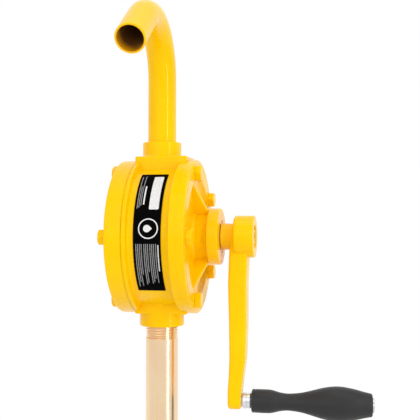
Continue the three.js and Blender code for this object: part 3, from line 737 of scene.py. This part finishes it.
def crank_casting():
    """Hub with its neck, and the bowed arm that thins towards the grip."""
    stations = [  # height, middle of the thickness, half thickness, half width
        (2, 80, 9.0, 13.2), (-12, 78.5, 9.0, 12.6), (-46, 77.0, 8.9, 11.8), (-85, 77.4, 8.5, 11.2),
        (-118, 77.0, 7.8, 10.7), (-136, 75.4, 7.0, 10.4), (-150, 74.0, 6.6, 10.2),
        (-THROW - 8.5, 73.6, 6.4, 9.6),
    ]
    top, middle, thick, wide = stations[0]
    bpy.ops.object.select_all(action="DESELECT")
    bpy.ops.mesh.primitive_plane_add(size=1, location=(middle * MM, 0, top * MM))
    arm = settled("crank_casting", (2 * thick * MM, 2 * wide * MM, 1))
    with_scale = [(thick, wide)]
    in_edit(arm)
    bpy.ops.mesh.select_all(action="SELECT")
    for (z0, x0, _, _), (z1, x1, half, width) in zip(stations, stations[1:]):
        step = Vector((x1 - x0, 0, z1 - z0)) * MM
        bpy.ops.mesh.extrude_region_move(TRANSFORM_OT_translate={"value": step})
        before = with_scale[-1]
        bpy.ops.transform.resize(value=(half / before[0], width / before[1], 1),
                                 center_override=(x1 * MM, 0, z1 * MM))
        with_scale.append((half, width))
    out_of_edit()
    cleaned(arm)
    lowest = -THROW - 8.5
    chosen(arm, "EDGE", lambda at, along: abs(at.z - lowest) < 0.1 and abs(along.x) > 0.9)
    bpy.ops.mesh.bevel(offset=8.2 * MM, segments=8, affect="EDGES")
    out_of_edit()
    rounded(arm, 2.4, 4, 50)
    hub = turned("hub", [
        (73.5, 0), (73.5, 20.6, 2.4), (CRANK_FACE, 20.6, 1.2), (CRANK_FACE, 11.6, 0.6),
        (86, 11, 0.4), (86, 0),
    ], sides=ROUND)
    neck = turned("neck", [
        (CRANK_NECK, 0), (CRANK_NECK, 13.4, 0.5), (75, 12.4), (75, 0),
    ])
    welded(arm, hub, neck)
    return cut(
        arm,
        rod("shaft_bore", 9.1, CRANK_NECK - 1, 87),
        rod("nut_recess", 11, 86, CRANK_FACE + 1, sides=ROUND),
        rod("spindle_hole", 4.7, 60, 90, at=(0, -THROW), sides=32),
    )


# ------------------------------------------------------------------ crank furniture
def grip_turning():
    """Hollow grip: short barrel behind its front lip, waist and long belly."""
    lip = [(8.0, 0.0), (10.4, 0.2), (11.3, 1.0), (11.3, 2.2), (11.0, 2.7)]
    belly = flowing([
        (11.2, 3.4), (11.3, 10.6), (11.0, 19), (8.9, 27.5), (8.1, 36), (9.4, 48), (12, 58.5),
        (15, 70), (16.4, 80), (16.2, 88), (14.6, 98), (12.4, 107), (11.0, 113.6),
    ])
    rear = [(10.6, 114.7), (9.6, GRIP_END - GRIP_START), (5.4, GRIP_END - GRIP_START),
            (5.2, 114.6), (5.2, 0.4), (5.4, 0.0), (8.0, 0.0)]
    line = [(GRIP_START + s, r) for r, s in [*lip, *((p.x, p.y) for p in belly), *rear]]
    grip = turned("grip_turning", None, sides=ROUND, line=line)
    grip.data.transform(Matrix.Translation((0, 0, -THROW * MM)))
    return grip


def spindle_pin():
    """Spindle through the grip with a domed head at its free end."""
    start = reach("handle_spindle", "X")[0]
    end = reach("handle_spindle", "X")[1]
    pin = turned("spindle_pin", [
        (start, 0), (start, 4.6, 0.6), (80, 4.6), (80, 4.2), (90, 4.2), (90, 4.9),
        (GRIP_END + 0.2, 4.9), (GRIP_END + 0.2, 7.2, 0.3), (GRIP_END + 1.2, 7.2, 0.4),
        (end, 4.6, 1.6), (end, 0),
    ])
    pin.data.transform(Matrix.Translation((0, 0, -THROW * MM)))
    return pin


def collar_ring():
    """Turned spacer between the arm and the grip, with a groove."""
    start, end = reach("spindle_collar", "X")
    collar = turned("collar_ring", None, line=[(a, r) for a, r in (
        (start, 4.6), (start, 7.0), (start + 0.6, 7.6), (start + 3.6, 7.6), (start + 3.9, 7.2),
        (start + 4.5, 7.2), (start + 4.8, 7.6), (end - 0.6, 7.6), (end, 7.0), (end, 4.6),
        (start, 4.6))])
    collar.data.transform(Matrix.Translation((0, 0, -THROW * MM)))
    return collar


def crank_nut():
    start, end = reach("crank_nut", "X")
    nut = rod("hexagon_nut", 13 / math.sqrt(3), start, end, sides=6)
    chamfer = turned("chamfer", [
        (start, 0), (start, 6.3), (start + 1.1, 8.2), (end - 1.1, 8.2), (end, 6.3), (end, 0),
    ])
    boolean(nut, [chamfer], "INTERSECT")
    rounded(nut, 0.25, 2, 40)
    return cut(nut, rod("thread_bore", 4.1, start - 1, end + 1, sides=32))


# ------------------------------------------------------------------ tubes
def spout_pipe():
    """A ring drawn up, round one bend and straight down to the mouth, then given its wall."""
    foot = COLLAR_TOP - 23
    bpy.ops.object.select_all(action="DESELECT")
    bpy.ops.mesh.primitive_circle_add(vertices=FINE, radius=SPOUT_R * MM,
                                      location=(0, 0, foot * MM))
    pipe = settled("spout_pipe")
    in_edit(pipe, "EDGE")
    bpy.ops.mesh.select_all(action="SELECT")
    rise = Vector((0, 0, (BEND_START - foot) * MM))
    bpy.ops.mesh.extrude_region_move(TRANSFORM_OT_translate={"value": rise})
    bpy.ops.mesh.spin(steps=56, angle=-bend_end, center=(0, -BEND_R * MM, BEND_START * MM),
                      axis=(1, 0, 0))
    down = SPOUT_DOWN * SPOUT_STRAIGHT * MM
    bpy.ops.mesh.extrude_region_move(TRANSFORM_OT_translate={"value": down})
    out_of_edit()
    cleaned(pipe)
    with_modifier(pipe, "SOLIDIFY", thickness=SPOUT_WALL * MM, offset=-1)
    rounded(pipe, 0.55, 3, 50)
    return pipe


def suction_pipe():
    """Plated tube with its coarse thread screwed into the boss and four turns left showing."""
    thread_end = BOSS_BOTTOM - 12
    tube = turned("suction_pipe", [
        (TUBE_BOTTOM, 0), (TUBE_BOTTOM, TUBE_R, 0.5), (thread_end, TUBE_R, 0.35), (thread_end, 0),
    ], "Z")
    thread = threaded("thread", TUBE_R - 0.12, 1.0, 2.6, thread_end - 0.5, TUBE_TOP, FINE)
    welded(tube, thread)
    return cut(tube, rod("bore", TUBE_R - 2, TUBE_BOTTOM - 1, TUBE_TOP + 1, "Z", sides=FINE))


def telescope_sleeve():
    """Sleeve on the tube's end: plain skirt, knurled grip band and a lip that guides the tube."""
    top, bottom = SLEEVE_TOP, SLEEVE_BOTTOM
    sleeve = turned("telescope_sleeve", [
        (bottom, 0), (bottom, 17, 0.4), (bottom + 3, 20, 0.8), (bottom + 14, 20, 0.5),
        (bottom + 14.6, 19.2, 0.2), (bottom + 16, 19.2, 0.2), (bottom + 16.6, 20, 0.3),
        (top - 4.6, 20, 0.3), (top - 4, 19.2, 0.2), (top - 3, 19.2, 0.2), (top - 2.4, 20, 0.3),
        (top, 20, 0.9), (top, 0),
    ], "Z")
    tooth = rod("tooth", 0.75, bottom + 17.4, top - 5.4, "Z", at=(20.15, 0), sides=6)
    cut(sleeve, around(tooth, 48, "Z"))
    return cut(
        sleeve,
        rod("tube_socket", TUBE_R + 0.1, -470.6, top + 1, "Z", sides=FINE),
        rod("guide", INNER_R + 0.2, bottom - 1, -470, "Z", sides=FINE),
        rod("screw_hole", 3.1, 0, 30, "Y", at=(0, LOCK_HEIGHT), sides=24),
    )


def inner_pipe():
    """Inner tube that slides in the telescope."""
    tube = turned("inner_pipe", [
        (INNER_BOTTOM, INNER_R - 2), (INNER_BOTTOM, INNER_R, 0.5), (INNER_TOP, INNER_R, 0.5),
        (INNER_TOP, INNER_R - 2, 0.3), (INNER_BOTTOM, INNER_R - 2),
    ], "Z")
    return tube


def strainer_cup():
    """Slotted foot valve: ribbed cap over the tube's end, rounded slots, flat foot."""
    top, bottom = FOOT_TOP, FOOT_BOTTOM
    cup = turned("strainer_cup", [
        (bottom, 0), (bottom, 17, 2.2), (top - 9, 17, 0.4), (top - 9.6, 16.3, 0.3),
        (top - 8.2, 16.3, 0.3), (top - 7.6, 17, 0.4), (top, 17, 1.8), (top, 0),
    ], "Z")
    slot = block("slot", (8, -1.7, bottom + 5), (20, 1.7, top - 13), 1.5, 4)
    cut(cup, rod("socket", INNER_R + 0.1, top - 8.4, top + 1, "Z", sides=FINE),
        rod("chamber", INNER_R - 2, bottom + 3, top - 8, "Z", sides=FINE))
    return cut(cup, around(slot, 8, "Z", first=22.5))


def adapter_fitting():
    """Two inch bung adapter: parallel thread, hexagon, and the neck with the screw boss."""
    thread_end, seat = reach("bung_adapter", "Z")[0], 3
    hex_top, neck_r, top = 15, 23, reach("bung_adapter", "Z")[1]
    across = 74
    fitting = rod("adapter_fitting", across / math.sqrt(3), seat, hex_top, "Z", sides=6)
    corner = across / math.sqrt(3)
    boolean(fitting, [turned("chamfer", [
        (seat - 0.5, 0), (seat - 0.5, corner - 3), (seat + 1.2, corner + 0.2),
        (hex_top - 2, corner + 0.2), (hex_top, corner - 3.6), (hex_top, 0),
    ], "Z", ROUND)], "INTERSECT")
    rounded(fitting, 0.7, 3, 35)
    neck = turned("neck", [
        (hex_top - 2, 0), (hex_top - 2, neck_r + 2.6), (hex_top + 0.2, neck_r + 2.4, 0.4),
        (hex_top + 1.8, neck_r, 1.4), (top, neck_r, 1.6), (top, 0),
    ], "Z", ROUND)
    thread = threaded("thread", 29.6, 1.3, 2.309, thread_end, seat - 1.6, FINE)
    relief = rod("relief", 28.2, seat - 2, seat + 1, "Z", sides=FINE)
    screw_boss = turned("screw_boss", [(12, 0), (12, 6.5), (neck_r + 6, 6.5, 0.9),
                                       (neck_r + 6, 0)], "Y", 32)
    screw_boss.data.transform(Matrix.Translation((0, 0, SCREW_HEIGHT * MM)))
    welded(fitting, relief, neck, thread, screw_boss)
    return cut(
        fitting,
        rod("tube_bore", TUBE_R + 0.4, thread_end - 1, top + 1, "Z", sides=FINE),
        rod("ring_bore", 19.6, 12.7, top - 3, "Z", sides=FINE),
        rod("screw_hole", 3.1, 0, 40, "Y", at=(0, SCREW_HEIGHT), sides=24),
    )


def wing_screw(name, node):
    """Wing screw along +Y: turned stem and two cast wings."""
    tip, end = reach(node, "Y")
    neck = tip + (end - tip) * 0.38 if node == "adapter_screw" else end - 17
    stem = turned(name, [
        (tip, 0), (tip, 2.2), (tip + 1, 3.0, 0.2), (neck, 3.0, 0.6), (neck + 1.2, 6.0, 0.8),
        (neck + 8, 6.0, 0.8), (neck + 9.4, 4.4, 1.0), (neck + 9.4, 0),
    ], "Y", 40)
    wings = prism("wings", [
        (-4.5, neck + 2), (-11.4, end - 5.2, 1.5), (-11.4, end - 1.2, 1.6), (-8.6, end, 1.8),
        (0, neck + 8), (8.6, end, 1.8), (11.4, end - 1.2, 1.6), (11.4, end - 5.2, 1.5),
        (4.5, neck + 2),
    ], 3.3, "XY")
    rounded(wings, 0.9, 3, 40)
    return welded(stem, wings)


SCREW_HEIGHT = sum(reach("adapter_screw", "Z")) / 2
LOCK_HEIGHT = sum(reach("telescope_screw", "Z")) / 2 - SHAFT_HEIGHT


# ------------------------------------------------------------------ label
LABEL_BACK, LABEL_FRONT = reach("label_plate", "X")
LABEL_MIDDLE = (LABEL_BACK + LABEL_FRONT) / 2
LABEL_R = BARREL_R + 0.05
ONE_DEGREE = math.radians(1) * LABEL_R


def wrapped(piece, height):
    """Bends a flat piece, drawn with X across and Y up the label, round the barrel."""
    for vertex in piece.data.vertices:
        across, up, out = vertex.co / MM
        angle = up / LABEL_R
        radius = LABEL_R + height + out
        vertex.co = Vector((across, -radius * math.cos(angle), radius * math.sin(angle))) * MM
    return cleaned(piece)


def flat_shape(name, outline, thickness=0.04, holes=()):
    """A thin flat shape, cut across every few mm so that it bends smoothly."""
    piece = prism(name, outline, thickness, "XY")
    if holes:
        cut(piece, *holes)
    heights = [vertex.co.y / MM for vertex in piece.data.vertices]
    in_edit(piece)
    line = math.floor(min(heights) / 3) * 3 + 3
    while line < max(heights) - 0.05:
        bpy.ops.mesh.select_all(action="SELECT")
        bpy.ops.mesh.bisect(plane_co=(0, line * MM, 0), plane_no=(0, 1, 0))
        line += 3
    out_of_edit()
    return piece


def bar(x0, x1, y0, y1, ease=0.0):
    """Corners of an upright bar on the label, in flat mm."""
    corners = [(x0, y0), (x1, y0), (x1, y1), (x0, y1)]
    return [(*corner, ease) for corner in corners] if ease else corners


def label_foil():
    low, high = -46 * ONE_DEGREE, 59 * ONE_DEGREE
    foil = flat_shape("label_foil", bar(LABEL_BACK, LABEL_FRONT, low, high, 0.9), 0.5)
    return wrapped(foil, 0.3)


def drop_outline(x, y, size):
    """A drop lying on its side, its point towards the front edge."""
    points = [(x + size * 1.45, y)]
    for degrees in range(52, 309, 16):
        angle = math.radians(degrees)
        points.append((x + size * math.cos(angle), y + size * math.sin(angle)))
    return points


def label_print():
    """Plain bars, a drop in a ring and fine rules: a label's layout with no words on it."""
    drop_x, drop_y = LABEL_MIDDLE + 1.2, 8
    white = [
        bar(3, 12.2, 26, 66, 1.2),
        bar(-3.2, -1.8, 31, 52),
        bar(12.2, 13.2, -32, -7),
        drop_outline(drop_x - 1.2, drop_y, 3.4),
    ]
    rules = [(-8.4, -50, -6), (-6.7, -44, -6), (-5.0, -49, -6), (-3.3, -36, -6), (-0.8, -47, -6),
             (0.9, -45, -6), (2.6, -33, -6), (4.8, -46, -6), (6.5, -44, -6), (8.2, -40, -6),
             (10.2, -45, -6), (-8.6, 27, 66), (-7.0, 28, 52), (-5.4, 30, 67)]
    shapes = [flat_shape(f"white_{i}", outline) for i, outline in enumerate(white)]
    halo = prism("halo", [(drop_x + 9.4 * math.cos(a), drop_y + 9.4 * math.sin(a))
                          for a in (FULL_TURN * k / 48 for k in range(48))], 0.04, "XY")
    eye = rod("eye", 8.3, -1, 1, "Z", at=(drop_x, drop_y), sides=48)
    shapes.append(cut(halo, eye))
    grey = [flat_shape(f"rule_{i}", bar(x, x + 0.7, low, high))
            for i, (x, low, high) in enumerate(rules)]
    whites = together("label_print", shapes)
    greys = together("label_rules", grey)
    return wrapped(whites, 0.575), wrapped(greys, 0.575)


# ------------------------------------------------------------------ assembly
def paint_spout():
    """Bore faces of the spout carry the painted bore shade, the rest the enamel."""
    pipe = spout_pipe()
    pipe.data.materials.append(FINISH["yellow_paint"])
    pipe.data.materials.append(LINING)
    centre_height = BEND_START
    for face in pipe.data.polygons:
        at = face.center / MM
        if at.z < centre_height and at.y > -BEND_R:
            middle = Vector((0, 0, at.z))
        else:
            arm = Vector((0, at.y + BEND_R, at.z - BEND_START))
            angle = math.atan2(arm.z, arm.y)
            if 0 <= angle <= bend_end:
                middle = Vector((0, -BEND_R, BEND_START)) + arm.normalized() * BEND_R
            else:
                start = SPOUT_TIP / MM - Vector((0, 0, SHAFT_HEIGHT))
                middle = start + SPOUT_DOWN * (at - start).dot(SPOUT_DOWN)
        outward = (at - middle).dot(face.normal)
        face.material_index = 1 if outward < -1 else 0
    return pipe


installed(body_casting(), "pump", "yellow_paint", "pump_body")
installed(front_cover_casting(), "pump", "yellow_paint", "front_cover")
installed(rear_cover_casting(), "pump", "yellow_paint", "rear_cover")

bolt = cover_bolt()
for i in range(BOLT_COUNT):
    swing = turn_about("X", -BOLT_STEP * i) @ Matrix.Translation((0, -BOLT_CIRCLE * MM, 0))
    forward = swing @ Matrix.Translation(((COVER_FACE + 0.9) * MM, 0, 0)) @ turn_about("X", 11 * i)
    backward = (swing @ Matrix.Translation(((REAR_FACE - 0.9) * MM, 0, 0))
                @ turn_about("Z", 180) @ turn_about("X", 17 * i))
    installed(twin(bolt, f"front_cover_bolt_{i + 1}", forward), "pump", "yellow_paint",
              f"front_bolt_{i + 1}")
    installed(twin(bolt, f"rear_cover_bolt_{i + 1}", backward), "pump", "yellow_paint",
              f"rear_bolt_{i + 1}")
bpy.data.meshes.remove(bolt.data)

installed(ring("front_seam", 59, CASING_R - 0.03, BODY_FRONT + 0.02, COVER_SEAT - 0.02, ease=0.05,
               sides=ROUND * 2), "pump", "yellow_paint", "front_gasket")
installed(ring("rear_seam", 59, CASING_R - 0.9, REAR_SEAT + 0.02, BODY_BACK - 0.02, ease=0.15,
               sides=ROUND * 2), "pump", "gasket_fibre", "rear_gasket")
installed(paint_spout(), "pump", "yellow_paint", "spout_tube", smooth=40,
          finishes=[FINISH["yellow_paint"], LINING])
installed(crank_casting(), "crank", "yellow_paint", "crank_arm", smooth=40)
installed(crank_nut(), "crank", "yellow_paint", "crank_nut")
installed(ring("recess_washer", 4.2, 10.6, 86.3, 88, ease=0.3), "crank", "yellow_paint",
          "crank_washer")
installed(spindle_pin(), "crank", "bright_zinc", "handle_spindle")
installed(collar_ring(), "crank", "bright_zinc", "spindle_collar")
installed(grip_turning(), "handle", "grip_plastic", "grip", smooth=40)
installed(suction_pipe(), "pump", "zinc_yellow", "suction_tube", smooth=40)
installed(telescope_sleeve(), "pump", "bright_zinc", "telescope_collar")
installed(inner_pipe(), "telescope", "zinc_yellow", "inner_tube")
installed(strainer_cup(), "telescope", "strainer_plastic", "foot_strainer")
installed(wing_screw("telescope_wing_screw", "telescope_screw"), "telescope_clamp", "bright_zinc",
          "telescope_screw", lift=SHAFT_HEIGHT + LOCK_HEIGHT)
installed(adapter_fitting(), "adapter", "zinc_yellow", "bung_adapter", lift=0)
installed(wing_screw("adapter_wing_screw", "adapter_screw"), "adapter_clamp", "bright_zinc",
          "adapter_screw", lift=SCREW_HEIGHT)
installed(ring("bung_washer", 30.1, 36, 0, 2.9, "Z", 0.5, ROUND), "adapter", "rubber",
          "adapter_gasket", lift=0)
installed(ring("swivel_bush", TUBE_R + 0.1, 19.4, 13, 34, "Z", 0.5), "swivel", "rubber",
          "swivel_ring", lift=0)

installed(label_foil(), "pump", "label_film", "label_plate")
white_print, grey_print = label_print()
for print_piece, ink in ((white_print, WHITE_INK), (grey_print, GREY_INK)):
    print_piece.data.materials.append(ink)
    installed(print_piece, "pump", "label_film", finishes=[ink])

CAD_FINISH = {
    "front_bush": FINISH["bronze"], "rear_bush": FINISH["bronze"], "shaft_seal": FINISH["rubber"],
    "seal_retainer": FINISH["yellow_paint"], "drive_shaft": STEEL, "rotor_key": STEEL,
    "rotor": FINISH["cast_iron"], "sliding_seal": FINISH["rubber"],
}
for i in range(4):
    CAD_FINISH[f"vane_{i + 1}"] = FINISH["bronze"]
    CAD_FINISH[f"vane_spring_{i + 1}"] = STEEL
for node, finish in CAD_FINISH.items():
    for material_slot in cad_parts[node].material_slots:
        material_slot.material = finish


# ------------------------------------------------------------------ studio
def floor_finish():
    """Pale floor that fades into the white surround."""
    floor = Finish("pale_floor", (0.86, 0.86, 0.86), 0.7)
    floor.roughness(floor.level(floor.noise(8, 3), 0.3, 0.7, 0.6, 0.8))
    away = floor.node("ShaderNodeVectorMath", [(0, floor.place)], operation="LENGTH")
    fade = floor.level(away.outputs["Value"], 0.25, 0.8)
    glow = floor.node("ShaderNodeEmission", Color=(1, 1, 1, 1), Strength=1.0)
    blend = floor.node("ShaderNodeMixShader", [
        (0, fade), (1, floor.shader.outputs[0]), (2, glow.outputs[0])])
    output = floor.tree.nodes["Material Output"]
    floor.tree.links.new(blend.outputs[0], output.inputs["Surface"])
    return floor.material


def floor():
    bpy.ops.object.select_all(action="DESELECT")
    bpy.ops.mesh.primitive_circle_add(vertices=ROUND, radius=0.85, fill_type="NGON",
                                      location=(0, 0, FLOOR_HEIGHT * MM))
    stand = settled("floor")
    stand.data.materials.append(floor_finish())


def surround():
    """White studio all round, brightest behind, with one dark flag standing off to +X."""
    world = bpy.data.worlds.new("studio")
    bpy.context.scene.world = world
    world.use_nodes = True
    tree = world.node_tree

    def node(kind, *links, **settings):
        made = tree.nodes.new(kind)
        for key, value in settings.items():
            setattr(made, key, value)
        for socket, source in enumerate(links):
            if isinstance(source, (int, float)):
                made.inputs[socket].default_value = source
            else:
                tree.links.new(source, made.inputs[socket])
        return made.outputs[0]

    direction = tree.nodes.new("ShaderNodeTexCoord").outputs["Generated"]
    parts = tree.nodes.new("ShaderNodeSeparateXYZ")
    tree.links.new(direction, parts.inputs[0])
    behind = node("ShaderNodeMapRange", parts.outputs["Y"], -0.3, 0.5, AMBIENT["front"],
                  AMBIENT["back"])
    off_flag = node("ShaderNodeMath", parts.outputs["Y"], AMBIENT["flag"], operation="SUBTRACT")
    off_flag = node("ShaderNodeMath", off_flag, operation="ABSOLUTE")
    shade = node("ShaderNodeMapRange", off_flag, 0.1, 0.17, AMBIENT["dark"], 1.0)
    other_side = node("ShaderNodeMath", parts.outputs["X"], 0.0, operation="LESS_THAN")
    shade = node("ShaderNodeMath", shade, other_side, operation="MAXIMUM")
    strength = node("ShaderNodeMath", behind, shade, operation="MULTIPLY")
    light = tree.nodes["Background"]
    light.inputs["Color"].default_value = (1, 1, 1, 1)
    tree.links.new(strength, light.inputs["Strength"])
    seen = tree.nodes.new("ShaderNodeBackground")
    seen.inputs["Color"].default_value = (1, 1, 1, 1)
    path = tree.nodes.new("ShaderNodeLightPath")
    backdrop = node("ShaderNodeMixShader", path.outputs["Is Camera Ray"], light.outputs[0],
                    seen.outputs[0])
    tree.links.new(backdrop, tree.nodes["World Output"].inputs["Surface"])


def softbox(name, place, size, power):
    """A square area light facing the pump."""
    light = bpy.data.lights.new(name, "AREA")
    light.shape = "RECTANGLE"
    light.size, light.size_y = size
    light.energy = power
    lamp = bpy.data.objects.new(name, light)
    lamp.location = place
    aim = Vector((0, 0, SHAFT_HEIGHT * MM)) - Vector(place)
    lamp.rotation_euler = aim.to_track_quat("-Z", "Y").to_euler()
    bpy.context.collection.objects.link(lamp)


CAMERA = {"lens": 66.4, "turn": 10.05, "tilt": -1.17, "distance": 0.775, "aside": 0.0479,
          "above": 0.0264}
AMBIENT = {"front": 0.88, "back": 1.0, "flag": 0.13, "dark": 0.02}  # flag: its place along Y


def camera():
    """Level with the casing, a little to the crank's side."""
    turn, tilt = math.radians(CAMERA["turn"]), math.radians(CAMERA["tilt"])
    back = Vector((math.sin(turn) * math.cos(tilt), -math.cos(turn) * math.cos(tilt),
                   math.sin(tilt)))
    right = Vector((math.cos(turn), math.sin(turn), 0))
    up = back.cross(right)
    data = bpy.data.cameras.new("camera")
    data.lens = CAMERA["lens"]
    data.sensor_width = 36
    view = bpy.data.objects.new("camera", data)
    matrix = Matrix((right, up, back)).transposed().to_4x4()
    matrix.translation = (Vector((0, 0, SHAFT_HEIGHT * MM)) + back * CAMERA["distance"]
                          + right * CAMERA["aside"] + up * CAMERA["above"])
    view.matrix_world = matrix
    bpy.context.collection.objects.link(view)
    bpy.context.scene.camera = view


camera()
floor()
surround()
softbox("right_softbox", (1.3, -0.85, 0.45), (0.14, 1.6), 9)
softbox("front_softbox", (-0.45, -1.6, 0.9), (1.3, 1.3), 4)
softbox("top_softbox", (0.3, -0.2, 1.7), (1.2, 1.2), 5)
bpy.context.scene.view_settings.view_transform = "Standard"
bpy.context.scene.view_settings.look = "None"
